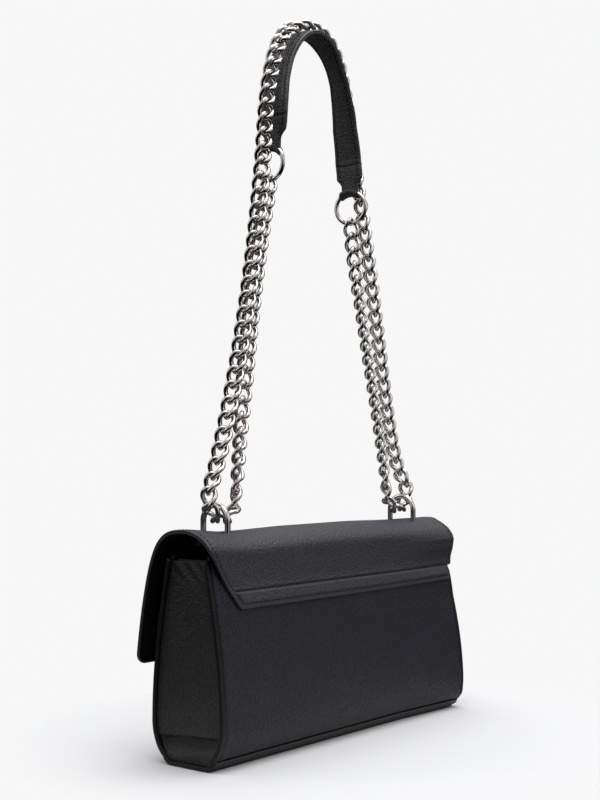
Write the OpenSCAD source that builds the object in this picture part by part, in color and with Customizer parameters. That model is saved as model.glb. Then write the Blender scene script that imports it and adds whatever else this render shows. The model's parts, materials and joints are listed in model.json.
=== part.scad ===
// Flap shoulder bag with a doubled curb chain and a leather shoulder pad.
// The bag stands on z = 0, its front faces -y, and x = 0 is the middle of its length.
// Left and right are as seen from the front.

/* [Bag body] */
// Length of the bag at its base, over the end bindings
bag_len = 270; // [230:1:320]
// Depth of the bag where it stands
base_depth = 34; // [26:0.5:42]
// Depth of the bag where it is widest
belly_depth = 59; // [52:0.5:70]
// Height at which the bag is widest
belly_h = 26; // [20:0.5:40]
// Depth of the bag at its mouth
mouth_depth = 33.6; // [28:0.2:40]
// Height of the gussets' top edge
gusset_h = 125.5; // [115:0.5:135]
// Thickness of a leather-covered wall panel
panel_t = 2.6; // [2:0.1:3.4]
// Height of the base band below the wall panels' seam
band_h = 6; // [4:0.5:9]
// Thickness of the base leather
base_t = 2; // [1.5:0.1:2.5]
// Thickness of the board that stiffens the base
board_t = 2; // [1:0.1:3]
// Thickness of a gusset
gusset_t = 1.6; // [1:0.1:2.4]
// Length that an end binding stands out past the gusset
binding_t = 2.6; // [1.6:0.1:4]
// Width of an end binding
binding_w = 4; // [3:0.1:6]
// Thickness of the lining
lining_t = 1; // [0.6:0.1:1.4]

/* [Slip pocket] */
// Width of the slip pocket in the lining
pocket_w = 150; // [100:1:180]
// Distance of the slip pocket's hem below the gussets' top edge
pocket_drop = 21.5; // [12:0.5:40]
// Height of the slip pocket itself
pocket_h = 62; // [40:1:68]
// Thickness of the slip pocket's cloth
pocket_t = 0.8; // [0.5:0.1:1.2]

/* [Flap] */
// Height of the flap's crest above the line about which it opens
crest_rise = 12; // [9:0.5:18]
// Distance of the flap's front lower edge from the middle of the bag
flap_reach = 40.2; // [38:0.2:46]
// Length that the flap hangs down in front, from its crest
flap_drop = 82.6; // [68:0.2:93]
// Length that the flap stands out past the bag at each end
flap_over = 2; // [1:0.1:4]
// Thickness of the flap's outer leather
flap_leather_t = 2; // [1.4:0.1:2.6]
// Thickness of the flap's lining
flap_lining_t = 1; // [0.6:0.1:1.4]
// Radius of the flap's lower corners
flap_corner_r = 7; // [4:0.5:20]
// Height of the line about which the flap opens, above the gussets' top edge
hinge_rise = 4.5; // [3.5:0.1:7]
// Distance of that line behind the mouth of the bag
hinge_out = 5.7; // [4.5:0.1:7]
// Gap between the flap and the yoke at that line
hinge_gap = 0.6; // [0.4:0.1:1]
// Distance of the stitched yoke's lower edge below the line about which the flap opens
yoke_drop = 34.5; // [26:0.1:42]
// Distance of the yoke's lower corners from the ends of the bag
yoke_inset = 24; // [14:0.1:34]
// Thickness of the yoke
yoke_t = 2.2; // [1.6:0.1:2.8]
// Height of the raised band along the yoke's lower edge
yoke_band_h = 7; // [5:0.1:10]
// Height of the strip below that band
yoke_strip_h = 3.4; // [1.5:0.1:4]
// Thickness of the raised band
yoke_band_t = 1; // [0.6:0.1:1.4]

/* [Magnet] */
// Radius of the closure's two magnet housings
magnet_r = 9; // [7:0.5:11]

/* [Strap loops] */
// Distance of a strap loop from the end of the bag
loop_inset = 31.7; // [24:0.1:45]
// Distance of the loops in front of the middle of the bag
loop_y = 4.1; // [3:0.1:7]
// Wire diameter of a strap loop
loop_wire = 3.8; // [3.2:0.1:4.2]
// Radius of a strap loop's bend, to the middle of the wire
loop_r = 10.4; // [9.6:0.1:11.5]
// Height of a strap loop above the crest, to the middle of the wire
loop_rise = 16.3; // [15:0.1:18]
// Thickness of the plate under the flap that a loop is riveted to
plate_t = 1.2; // [0.8:0.1:2]
// Width of that plate
plate_w = 10; // [8:0.5:14]

/* [Chain] */
// Height of the strap's highest point above the crest, to the middle of the chain
strap_rise = 348.5; // [290:0.5:400]
// Wire diameter of a link
link_wire = 2.6; // [2.2:0.1:2.7]
// Half the width of a link, to the middle of the wire
link_half_w = 4.6; // [4.4:0.1:4.8]
// Half the length of a link, to the middle of the wire
link_half_l = 6.8; // [6.6:0.1:7]
// Length of chain that a link takes up
link_pitch = 10.2; // [10.1:0.05:10.4]
// Radius of the chain's turn through a strap loop
turn_r = 13.3; // [13:0.1:14]
// Distance of the chain's middle line from the loop's wire in that turn
turn_bearing = 6; // [5.8:0.1:7]

/* [Shoulder pad] */
// Distance of a ring from the middle of the strap
ring_x = 45.5; // [40:0.5:50]
// Distance of the right ring's middle below the strap's highest point
ring_right_drop = 104.6; // [90:0.2:125]
// Distance of the left ring's middle below the strap's highest point
ring_left_drop = 121.6; // [90:0.2:125]
// Distance of the outer strand from the rings, sideways
strand_out = 11.3; // [9.5:0.1:14]
// Radius of a ring, to the middle of the wire
ring_r = 11.5; // [10:0.1:13]
// Wire diameter of a ring
ring_wire = 3; // [2.4:0.1:3.2]
// Running gap between a ring and the chain's end link
ring_play = 0.35; // [0.3:0.05:0.6]
// Width of the pad
pad_w = 22; // [18:0.5:30]
// Distance of the pad and its rings in front of the strap loops
pad_shift = 3; // [0:0.1:5]
// Thickness of each of the pad's two layers
pad_layer_t = 1.6; // [1.2:0.1:2.4]
// Gap between the pad and the chain that lies over it
pad_gap = 0.8; // [0.6:0.1:3]
// Width of the tab that holds a ring
tab_w = 14; // [11:0.5:16]
// Thickness of a tab's leather
tab_t = 1.2; // [0.8:0.1:1.6]
// Length of a tab from the ring's wire to its shoulder
tab_neck = 9.5; // [8:0.5:14]
// Length of the tab's grip on the pad
tab_grip = 12; // [8:0.5:18]

/* [Hidden] */
$fn = 48;

// Overrun of a cut past the face that it opens
over = 1;
// Gap between soft pieces that move past each other
seat_gap = 0.3;

body_half = bag_len / 2 - binding_t;
flap_half = bag_len / 2 + flap_over;
yoke_half = bag_len / 2 - yoke_inset;
hinge_z = gusset_h + hinge_rise;
hinge_y = mouth_depth / 2 + hinge_out;
crest_h = hinge_z + crest_rise;
flap_low = crest_h - flap_drop;
yoke_low = hinge_z - yoke_drop;
// Distance of the wall panels' top edge below the flap's hinge line
panel_drop = 1.2;
panel_top = hinge_z - panel_drop;
flap_t = flap_leather_t + flap_lining_t;
lining_z = base_t + board_t;
loop_x = bag_len / 2 - loop_inset;
crown_z = crest_h + loop_rise;
bend_z = crown_z - loop_r;
strap_top = crest_h + strap_rise;
pad_y = loop_y + pad_shift;
ring_right_z = strap_top - ring_right_drop;
ring_left_z = strap_top - ring_left_drop;

// Half the depth of the bag at height z: it swells up to the belly and draws in to the mouth.
swell_power = 0.8;
function half_depth(z) = z < belly_h
    ? (base_depth + (belly_depth - base_depth) * pow(sin(90 * z / belly_h), swell_power)) / 2
    : (mouth_depth + (belly_depth - mouth_depth) * cos(90 * (z - belly_h) / (gusset_h - belly_h))) / 2;

function unit(v) = v / norm(v);
function bezier(p, t) = pow(1 - t, 3) * p[0] + 3 * t * pow(1 - t, 2) * p[1]
    + 3 * t * t * (1 - t) * p[2] + pow(t, 3) * p[3];
function bezier_way(p, t) = pow(1 - t, 2) * (p[1] - p[0]) + 2 * t * (1 - t) * (p[2] - p[1])
    + t * t * (p[3] - p[2]);
function left_of(v) = [-v[1], v[0]] / norm(v);
function reversed(list) = [for (i = [len(list) - 1:-1:0]) list[i]];

// Stations that every wall shares, so that walls which lie face to face have the same facets.
wall_steps = 20;
wall_table = [for (i = [0:wall_steps]) let (z = panel_top * i / wall_steps) [z, half_depth(z)]];
function wall_y(z) = lookup(z, wall_table);

// Points of the outline's back half from height z0 to z1, drawn in by inset.
function wall(z0, z1, inset) = [
    [wall_y(z0) - inset, z0],
    for (p = wall_table) if (p[0] > z0 && p[0] < z1) [p[1] - inset, p[0]],
    [wall_y(z1) - inset, z1]
];

// Extrudes an outline in (y, z) along x, centred.
module along_x(length) {
    rotate([90, 0, 90]) linear_extrude(length, center = true) children();
}

module wall_slab(z0, z1, inset, t) {
    polygon(concat(wall(z0, z1, inset), reversed(wall(z0, z1, inset + t))));
}

// The filled outline of the bag from height z0 to z1, drawn in by inset.
module body_outline(z0, z1, inset) {
    right = wall(z0, z1, inset);
    polygon(concat(right, reversed([for (p = right) [-p[0], p[1]]])));
}

module back_panel() {
    color([0.13, 0.13, 0.15]) along_x(2 * body_half) wall_slab(band_h, panel_top, 0, panel_t);
}

module front_panel() {
    color([0.13, 0.13, 0.15]) mirror([0, 1, 0]) along_x(2 * body_half)
        wall_slab(band_h, panel_top, 0, panel_t);
}

module base_panel() {
    color([0.2, 0.19, 0.19]) along_x(2 * body_half) difference() {
        body_outline(0, band_h, 0);
        body_outline(base_t, band_h + over, panel_t);
    }
}

module base_board() {
    color([0.45, 0.38, 0.3]) along_x(2 * (body_half - gusset_t)) body_outline(base_t, lining_z, panel_t);
}

module gusset(side) {
    color([0.12, 0.12, 0.12]) translate([side * (body_half - gusset_t / 2), 0, 0]) along_x(gusset_t)
        body_outline(base_t, gusset_h, panel_t);
}

module end_binding(side) {
    color([0.09, 0.09, 0.1]) translate([side * (body_half + binding_t / 2), 0, 0]) along_x(binding_t)
        difference() {
            body_outline(0, gusset_h, 0);
            body_outline(binding_w, gusset_h + over, binding_w);
        }
}

module lining() {
    color([0.25, 0.23, 0.22]) difference() {
        along_x(2 * (body_half - gusset_t)) body_outline(lining_z, gusset_h, panel_t);
        along_x(2 * (body_half - gusset_t - lining_t))
            body_outline(lining_z + lining_t, gusset_h + over, panel_t + lining_t);
    }
}

pocket_z = gusset_h - pocket_drop - pocket_h;
module slip_pocket() {
    color([0.3, 0.28, 0.27]) along_x(pocket_w)
        wall_slab(pocket_z, pocket_z + pocket_h, panel_t + lining_t + seat_gap, pocket_t);
}

// The yoke's outer face: it lies on the back panel below and stands off towards the hinge line.
yoke_steps = 8;
yoke_peel_share = 0.45;
peel_z = yoke_low + yoke_drop * yoke_peel_share;
peel_y = wall_y(peel_z) + yoke_t;
function yoke_y(z) = z < peel_z ? wall_y(z) + yoke_t
    : peel_y + (hinge_y - peel_y) * (1 - cos(90 * (z - peel_z) / (hinge_z - peel_z)));

// Points of that face from height z0 to z1, at the walls' own stations where it lies on the panel.
function yoke_line(z0, z1, offset) = [for (z = concat(
        [z0], [for (p = wall_table) if (p[0] > z0 && p[0] < min(z1, peel_z)) p[0]],
        [for (i = [0:yoke_steps - 1]) if (z1 > peel_z) peel_z + (z1 - peel_z) * i / yoke_steps], [z1]
    )) [yoke_y(z) + offset, z]];

// Trapezoid in (x, z) that the yoke is cut to, as an extrusion along y.
module yoke_cut() {
    slant = (flap_half - yoke_half) / yoke_drop;
    top = flap_half + slant * over;
    rotate([90, 0, 0]) linear_extrude(belly_depth * 2, center = true) polygon([
        [-yoke_half, yoke_low], [yoke_half, yoke_low],
        [top, hinge_z + over], [-top, hinge_z + over]
    ]);
}

module yoke_sheet(z0, z1, inner, outer) {
    intersection() {
        along_x(2 * flap_half) polygon(concat(yoke_line(z0, z1, outer), reversed(yoke_line(z0, z1, inner))));
        yoke_cut();
    }
}

module yoke() {
    color([0.17, 0.17, 0.19]) yoke_sheet(yoke_low, hinge_z - hinge_gap / 2, -yoke_t, 0);
}

module yoke_band() {
    color([0.2, 0.2, 0.22]) yoke_sheet(yoke_low + yoke_strip_h, yoke_low + yoke_strip_h + yoke_band_h,
        0, yoke_band_t);
}

// Control points of the flap's outer face in (y, z): up from the hinge line to the crest, then
// down the front. The shares are of the hinge's and the flap's distances from the crest.
back_lean_shares = [0.97, 0.5];
back_crest_share = 0.4;
front_crest_share = 0.58;
front_fall_shares = [0.8, 0.95];
flap_back = [
    [hinge_y, hinge_z + hinge_gap / 2],
    [hinge_y * back_lean_shares[0], hinge_z + (crest_h - hinge_z) * back_lean_shares[1]],
    [hinge_y * back_crest_share, crest_h],
    [0, crest_h]
];
flap_front = [
    [0, crest_h],
    [-flap_reach * front_crest_share, crest_h],
    [-flap_reach * front_fall_shares[0], flap_low + (crest_h - flap_low) * front_fall_shares[1]],
    [-flap_reach, flap_low]
];
back_steps = 8;
front_steps = 16;
function flap_line(depth) = concat(
    [for (i = [0:back_steps - 1]) let (t = i / back_steps)
        bezier(flap_back, t) + left_of(bezier_way(flap_back, t)) * depth],
    [for (i = [0:front_steps]) let (t = i / front_steps)
        bezier(flap_front, t) + left_of(bezier_way(flap_front, t)) * depth]
);

// Sheet of the flap between two depths below its outer face.
module flap_section(outer, inner) {
    polygon(concat(flap_line(outer), reversed(flap_line(inner))));
}

// What is cut off a lower corner of the flap.
module corner_cut(side) {
    rotate([90, 0, 0]) linear_extrude(flap_reach * 3, center = true) difference() {
        translate([side * flap_half, flap_low]) square(2 * flap_corner_r, center = true);
        translate([side * (flap_half - flap_corner_r), flap_low + flap_corner_r]) circle(flap_corner_r);
        translate([side * (flap_half - flap_corner_r * 1.5), flap_low + flap_corner_r])
            square([flap_corner_r, flap_corner_r * 2], center = true);
    }
}

// Holes for the legs of both strap loops, with their play. The legs end below the flap's lining.
leg_play = 0.1;
leg_tail = 3.6;
leg_foot_z = crest_h - flap_t - leg_tail;
module leg_holes() {
    for (side = [-1, 1], end = [-1, 1])
        translate([side * loop_x, -loop_y + end * loop_r, leg_foot_z - over])
            cylinder(h = bend_z - leg_foot_z + over, d = loop_wire + leg_play);
}

module flap_sheet(outer, inner) {
    difference() {
        along_x(2 * flap_half) flap_section(outer, inner);
        leg_holes();
        for (side = [-1, 1]) corner_cut(side);
    }
}

module flap_leather() {
    color([0.17, 0.17, 0.19]) flap_sheet(0, flap_leather_t);
}

module flap_lining() {
    color([0.07, 0.07, 0.07]) flap_sheet(flap_leather_t, flap_t);
}

// Middle of the closure on the flap's inner face, and the way from there to the front panel.
magnet_share = 0.9;
magnet_at = bezier(flap_front, magnet_share) + left_of(bezier_way(flap_front, magnet_share)) * flap_t;
magnet_way = left_of(bezier_way(flap_front, magnet_share));
magnet_guess = (-magnet_at[0] - wall_y(magnet_at[1])) / magnet_way[0];
magnet_span = (-magnet_at[0] - wall_y(magnet_at[1] + magnet_guess * magnet_way[1])) / magnet_way[0];
magnet_split_share = 0.4;

module magnet_disc(from, to) {
    translate([0, magnet_at[0], magnet_at[1]])
        rotate([90 - atan2(-magnet_way[1], magnet_way[0]) + 180, 0, 0])
            translate([0, 0, from]) cylinder(h = to - from, r = magnet_r);
}

module magnet_stud() {
    color("silver") magnet_disc(seat_gap, magnet_span * magnet_split_share);
}

module magnet_socket() {
    color("silver") magnet_disc(magnet_span * magnet_split_share + seat_gap, magnet_span - seat_gap);
}

// A U of round wire whose legs go through the flap and are riveted to the plate below it.
module strap_loop(side) {
    color("silver") translate([side * loop_x, -loop_y, 0]) {
        translate([0, 0, bend_z]) rotate([90, 0, 90]) rotate_extrude(angle = 180)
            translate([loop_r, 0]) circle(d = loop_wire);
        for (end = [-1, 1]) translate([0, end * loop_r, leg_foot_z])
            cylinder(h = bend_z - leg_foot_z, d = loop_wire);
    }
}

module loop_plate(side) {
    plate_l = 2 * loop_r + plate_w;
    color("silver") difference() {
        intersection() {
            translate([side * loop_x, 0, 0]) along_x(plate_w) flap_section(flap_t, flap_t + plate_t);
            translate([side * loop_x, -loop_y, crest_h])
                cube([plate_w + over, plate_l, crest_h - flap_low], center = true);
        }
        leg_holes();
    }
}

// The chain's route in (x, y, z), with y from the plane of the strap loops. The points are those of
// the right half of the strap, with x > 0; the left half is turned over to x < 0.
crown = [loop_x, 0, crown_z];
bearing_turn = 330;
contact_turn = 318;
strand_lean = 31.6;
inner_lean = 10;
turn_mid = crown - (turn_r - turn_bearing) * [cos(bearing_turn), 0, sin(bearing_turn)];
function on_turn(a) = turn_mid + turn_r * [cos(a), 0, sin(a)];

// The outer strand's waist is beside the right ring's top. The shares are of the strap's rise, of
// the height from the loops' bend to the waist, and of that from the waist to the strap's top.
lead_share = 0.0374;
low_lead_shares = [0.0476, 0, -0.4872];
high_lead_shares = [-0.0596, 0, 0.6106];
shoulder_share = 0.7727;
inner_lead_share = 0.28;
ring_lead_shares = [0.06, 0, -0.3];
// How far the strands sway out of the loops' plane at the points that shape them, from the turn
// upwards, as shares of the distance between strand and ring: first the left half, then the right.
outer_sway_shares = [[-0.2, -0.53, -0.36, -0.4], [0, 0.13, 0.16, 0.1]];
inner_sway_shares = [[-0.35, -0.53], [-0.4, -0.6]];
function half_of(side) = side > 0 ? 1 : 0;
function swayed(point, share) = point + [0, strand_out * share, 0];

outer_start = on_turn(strand_lean);
waist = [ring_x + strand_out, 0, ring_right_z + ring_r + ring_wire];
function outer_low(sway) = [
    outer_start,
    swayed(outer_start + strap_rise * lead_share * [-sin(strand_lean), 0, cos(strand_lean)], sway[0]),
    swayed(waist + (waist[2] - bend_z) * low_lead_shares, sway[1]), swayed(waist, sway[2])
];
function outer_high(sway) = [
    swayed(waist, sway[2]), swayed(waist + (strap_top - waist[2]) * high_lead_shares, sway[3]),
    [ring_x * shoulder_share, -pad_shift, strap_top], [0, -pad_shift, strap_top]
];
inner_start = on_turn(180 + inner_lean);

function inner_curve(ring_z, sway) = let (
        ring = [ring_x, -pad_shift, ring_z - ring_r], climb = ring[2] - inner_start[2],
        low = inner_start + climb * inner_lead_share * [-sin(inner_lean), 0, cos(inner_lean)],
        high = [ring[0], 0, ring[2]] + climb * ring_lead_shares
    ) [inner_start, swayed(low, sway[0]), swayed(high, sway[1]), ring];

fine = 60;
arc_fine = 24;
function outer_path(side) = let (sway = outer_sway_shares[half_of(side)]) concat(
    [for (i = [0:arc_fine - 1]) on_turn(contact_turn + (360 + strand_lean - contact_turn) * i / arc_fine)],
    [for (i = [0:fine - 1]) bezier(outer_low(sway), i / fine)],
    [for (i = [0:fine]) bezier(outer_high(sway), i / fine)]
);
function inner_path(side, ring_z) = let (sway = inner_sway_shares[half_of(side)]) concat(
    [for (i = [0:arc_fine - 1]) on_turn(contact_turn + (180 + inner_lean - contact_turn) * i / arc_fine)],
    [for (i = [0:fine]) bezier(inner_curve(ring_z, sway), i / fine)]
);

// Running length at each point of a path, and the point at a given length.
function lengths(p) = [for (i = 0, s = 0; i < len(p);
    i = i + 1, s = s + (i < len(p) ? norm(p[i] - p[i - 1]) : 0)) s];
function at_length(p, cum, s, i = 0) = i >= len(p) - 2 || cum[i + 1] >= s
    ? p[i] + (p[i + 1] - p[i]) * (s - cum[i]) / (cum[i + 1] - cum[i])
    : at_length(p, cum, s, i + 1);
function whole_length(p) = let (cum = lengths(p)) cum[len(cum) - 1];

// Links between the two contact links, each of which takes up half a pitch of that length.
outer_count = round(2 * whole_length(outer_path(1)) / link_pitch);
function outer_pitch(side) = 2 * whole_length(outer_path(side)) / outer_count;
// Distance from the middle of a ring's wire to the middle of the link that hangs on it.
end_reach = link_half_l - (link_wire + ring_wire) / 2 - ring_play;

// Joints between the links of one side's inner strand, from the contact link to the ring.
function inner_joints(side, ring_z) = let (
        path = inner_path(side, ring_z), cum = lengths(path), start = outer_pitch(side) / 2,
        total = cum[len(cum) - 1] - end_reach - start,
        count = round(total / link_pitch + 0.5),
        step = total / (count - 0.5)
    ) [for (j = [0:count]) at_length_or_past(path, cum, start + j * step)];
function at_length_or_past(p, cum, s) = s <= cum[len(cum) - 1] ? at_length(p, cum, s)
    : p[len(p) - 1] + unit(p[len(p) - 1] - p[len(p) - 2]) * (s - cum[len(cum) - 1]);

// Joints of one half of the outer strand, from the contact link up to the top.
last_joint = ceil(outer_count / 2) - 1;
function outer_joints(side) = let (path = outer_path(side), cum = lengths(path), pitch = outer_pitch(side))
    [for (j = [0:last_joint]) at_length(path, cum, pitch * (j + 0.5))];

// A curb link: a closed loop of round wire, turned about its length so that the chain lies flat.
link_sides = 6;
tip_turn = 50;
side_turn = 40;

// Circular arc from p towards q that leaves p along t, as count + 1 points.
function arc_points(p, t, q, count, first) = let (
        c = q - p, side = c - (c * t) * t, r = (c * c) / (2 * norm(side)), e = unit(side),
        swing = 2 * asin(norm(c) / (2 * r))
    ) [for (i = [first:count]) let (a = swing * i / count) p + e * r * (1 - cos(a)) + t * r * sin(a)];

// A quarter of the loop: an arc round the tip and a flatter one along the side.
tip = [link_half_l, 0, 0];
tip_way = [0, cos(tip_turn), sin(tip_turn)];
flank = [0, link_half_w, 0];
flank_way = [-cos(side_turn), 0, -sin(side_turn)];
quarter_v = flank - tip;
quarter_q = 2 * (1 - tip_way * flank_way);
quarter_s = quarter_v * (tip_way + flank_way);
quarter_d = (-quarter_s + sqrt(quarter_s * quarter_s + quarter_q * (quarter_v * quarter_v))) / quarter_q;
knee = (tip + flank + quarter_d * (tip_way - flank_way)) / 2;
// The tip's arc is cut where a third of the whole bend round the tip has passed.
tip_points = arc_points(tip, tip_way, knee, 3, 1);
quarter = [tip_points[0], tip_points[2], flank];
function turned(p, s) = [p[0] * s[0], p[1] * s[1], p[2] * s[2]];
link_line = [
    quarter[0], quarter[1], flank,
    turned(quarter[1], [-1, 1, -1]), turned(quarter[0], [-1, 1, -1]),
    turned(quarter[0], [-1, -1, 1]), turned(quarter[1], [-1, -1, 1]),
    turned(flank, [1, -1, 1]),
    turned(quarter[1], [1, -1, -1]), turned(quarter[0], [1, -1, -1])
];

// Rings of points round the link's line, each square to it. Each ring starts on the side away
// from a point on the link's length, at this share of the way out.
core_share = 0.6;
function ring_at(line, i) = let (
        n = len(line), p = line[i],
        back = unit(p - line[(i + n - 1) % n]), ahead = unit(line[(i + 1) % n] - p),
        way = unit(back + ahead), out = unit(p - [p[0] * core_share, 0, 0]),
        u = unit(out - (out * way) * way), v = cross(way, u)
    ) [for (k = [0:link_sides - 1]) let (a = 360 * k / link_sides)
        p + link_wire / 2 * (cos(a) * u + sin(a) * v)];
link_points = [for (i = [0:len(link_line) - 1]) each ring_at(link_line, i)];
link_faces = let (n = len(link_line), m = link_sides) [for (i = [0:n - 1], k = [0:m - 1]) let (
        a = i * m + k, b = i * m + (k + 1) % m,
        c = ((i + 1) % n) * m + (k + 1) % m, d = ((i + 1) % n) * m + k
    ) each [[a, c, b], [a, d, c]]];

// Puts a link between two joints of a route, rolled about its length.
module link_between(from, to, roll) {
    mid = (from + to) / 2;
    way = to - from;
    translate([mid[0], mid[1] - loop_y, mid[2]]) rotate([0, -atan2(way[2], way[0]), 0])
        rotate([0, 0, asin(way[1] / norm(way))]) rotate([roll, 0, 0])
            polyhedron(link_points, link_faces);
}

// Roll of the links in degrees, at shares of the strand's length from the turn upwards: first the
// left half, then the right. The chain lies flat in the turn and over the pad.
outer_roll_shares = [
    [[0, 0], [0.03, 0], [0.14, 35], [0.75, 35], [0.9, 0], [1, 0]],
    [[0, 0], [0.03, 0], [0.14, 42], [0.75, 42], [0.9, 0], [1, 0]]
];
inner_roll_shares = [
    [[0, 0], [0.1, 0], [0.28, -50], [0.36, -45], [0.5, -20], [0.75, -10], [1, 52]],
    [[0, 0], [0.1, 0], [0.28, -45], [0.36, -40], [0.5, 20], [0.6, 40], [1, 46]]
];
function points_on(side, list) = [for (p = list) [side * p[0], p[1], p[2]]];

// The links between the joints of a strand.
module strand(joints, rolls) {
    last = len(joints) - 2;
    for (j = [0:last]) link_between(joints[j], joints[j + 1], lookup(j / last, rolls));
}

module inner_strand(side, ring_z) {
    color("silver") strand(points_on(side, inner_joints(side, ring_z)), inner_roll_shares[half_of(side)]);
}

module outer_strand(side, ring_z) {
    joints = points_on(side, outer_joints(side));
    start = points_on(side, inner_joints(side, ring_z))[0];
    top = joints[last_joint];
    color("silver") {
        // The contact link bears on the loop and joins the outer strand to the inner one.
        link_between(start, joints[0], 0);
        strand(joints, outer_roll_shares[half_of(side)]);
        // With an even count one link lies across the top, and the right strand has it.
        if (side > 0 && outer_count % 2 == 0) 
            link_between(top, points_on(-1, outer_joints(-1))[last_joint], 0);
    }
}

module strap_ring(side, ring_z) {
    color("silver") translate([side * ring_x, -pad_y, ring_z]) rotate([0, 90, 0])
        rotate_extrude() translate([ring_r, 0]) circle(d = ring_wire);
}

// The pad's middle line: straight up from each tab, then over the top under the chain.
link_rise = max([for (p = link_line) abs(p[2])]) + link_wire / 2;
pad_top = strap_top - link_rise - pad_gap - pad_layer_t;
function pad_end(ring_z) = ring_z + ring_r + tab_neck + tab_grip;
pad_rise_share = 0.15;
pad_lean_share = 0.7;
function pad_leg(ring_z) = let (z = pad_end(ring_z)) [
    [ring_x, z], [ring_x, z + (pad_top - z) * pad_rise_share], [ring_x * pad_lean_share, pad_top],
    [0, pad_top]
];
pad_steps = 14;
function pad_half(ring_z, offset) = concat(
    [[ring_x + offset, ring_z + ring_r + tab_neck]],
    [for (i = [0:pad_steps]) let (t = i / pad_steps)
        bezier(pad_leg(ring_z), t) - left_of(bezier_way(pad_leg(ring_z), t)) * offset]
);
function pad_line(offset) = let (left = pad_half(ring_left_z, offset)) concat(
    pad_half(ring_right_z, offset),
    [for (i = [len(left) - 2:-1:0]) [-left[i][0], left[i][1]]]
);

module pad_layer(inner, outer) {
    translate([0, -pad_y, 0]) rotate([90, 0, 0]) linear_extrude(pad_w, center = true)
        polygon(concat(pad_line(outer), reversed(pad_line(inner))));
}

module pad_face() {
    color([0.12, 0.12, 0.13]) pad_layer(0, pad_layer_t);
}

module pad_backing() {
    color([0.1, 0.1, 0.11]) pad_layer(-pad_layer_t, 0);
}

// A tab of leather folded round the ring's wire, with a grip on both faces of the pad.
tab_play = 0.2;
module pad_tab(side, ring_z) {
    wire_z = ring_z + ring_r;
    hole_r = ring_wire / 2 + tab_play;
    fold_r = hole_r + tab_t;
    shoulder_z = wire_z + tab_neck;
    grip_x = pad_layer_t + tab_t;
    color([0.1, 0.1, 0.11]) translate([side * ring_x, -pad_y, 0]) difference() {
        intersection() {
            rotate([90, 0, 0]) linear_extrude(pad_w, center = true) union() {
                translate([0, wire_z]) circle(fold_r);
                polygon([
                    [-fold_r, wire_z], [fold_r, wire_z], [grip_x, shoulder_z],
                    [grip_x, shoulder_z + tab_grip], [-grip_x, shoulder_z + tab_grip], [-grip_x, shoulder_z]
                ]);
            }
            rotate([90, 0, 90]) linear_extrude(4 * fold_r, center = true) polygon([
                [-tab_w / 2, wire_z - fold_r - over], [tab_w / 2, wire_z - fold_r - over],
                [tab_w / 2, shoulder_z - (pad_w - tab_w) / 2], [pad_w / 2, shoulder_z],
                [pad_w / 2, shoulder_z + tab_grip + over], [-pad_w / 2, shoulder_z + tab_grip + over],
                [-pad_w / 2, shoulder_z], [-tab_w / 2, shoulder_z - (pad_w - tab_w) / 2]
            ]);
        }
        translate([0, 0, shoulder_z + tab_grip])
            cube([2 * pad_layer_t, pad_w + over, 2 * tab_grip], center = true);
        translate([0, 0, ring_z]) rotate([0, 90, 0]) rotate_extrude() translate([ring_r, 0]) circle(hole_r);
    }
}

back_panel();
front_panel();
base_panel();
base_board();
gusset(-1);  // gusset_left
gusset(1);  // gusset_right
end_binding(-1);  // end_binding_left
end_binding(1);  // end_binding_right
lining();
slip_pocket();
yoke();
yoke_band();
magnet_socket();
flap_leather();
flap_lining();
magnet_stud();
strap_loop(-1);  // strap_loop_left
strap_loop(1);  // strap_loop_right
loop_plate(-1);  // loop_plate_left
loop_plate(1);  // loop_plate_right
outer_strand(-1, ring_left_z);  // chain_outer_left
outer_strand(1, ring_right_z);  // chain_outer_right
inner_strand(-1, ring_left_z);  // chain_inner_left
inner_strand(1, ring_right_z);  // chain_inner_right
strap_ring(-1, ring_left_z);  // ring_left
strap_ring(1, ring_right_z);  // ring_right
pad_face();
pad_backing();
pad_tab(-1, ring_left_z);  // pad_tab_left
pad_tab(1, ring_right_z);  // pad_tab_right
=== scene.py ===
"""A flap shoulder bag with a doubled chain strap, dressed over its CAD frame.

The bag's sizes are in millimetres. The main ones are read from the frame's nodes, and points turn to
metres when a mesh is made. The left end is at -x, the right end at +x, and the front at -y.
"""

import json
import math

import bmesh
import bpy
import numpy as np
from mathutils import Matrix, Vector


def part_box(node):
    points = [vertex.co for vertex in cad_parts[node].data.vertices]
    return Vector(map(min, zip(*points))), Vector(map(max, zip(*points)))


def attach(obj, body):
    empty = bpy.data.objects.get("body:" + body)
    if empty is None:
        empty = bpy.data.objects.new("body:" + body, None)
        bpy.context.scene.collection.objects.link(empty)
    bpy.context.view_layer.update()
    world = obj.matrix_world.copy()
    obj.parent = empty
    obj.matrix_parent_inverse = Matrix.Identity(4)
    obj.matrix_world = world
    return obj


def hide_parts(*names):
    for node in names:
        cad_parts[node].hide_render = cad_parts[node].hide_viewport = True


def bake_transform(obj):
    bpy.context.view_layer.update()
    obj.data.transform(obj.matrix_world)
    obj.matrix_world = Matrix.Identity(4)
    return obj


MM = 0.001
LO, HI = 0, 1
X, Y, Z = range(3)
SIDES = ((-1, "left"), (1, "right"))

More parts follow.
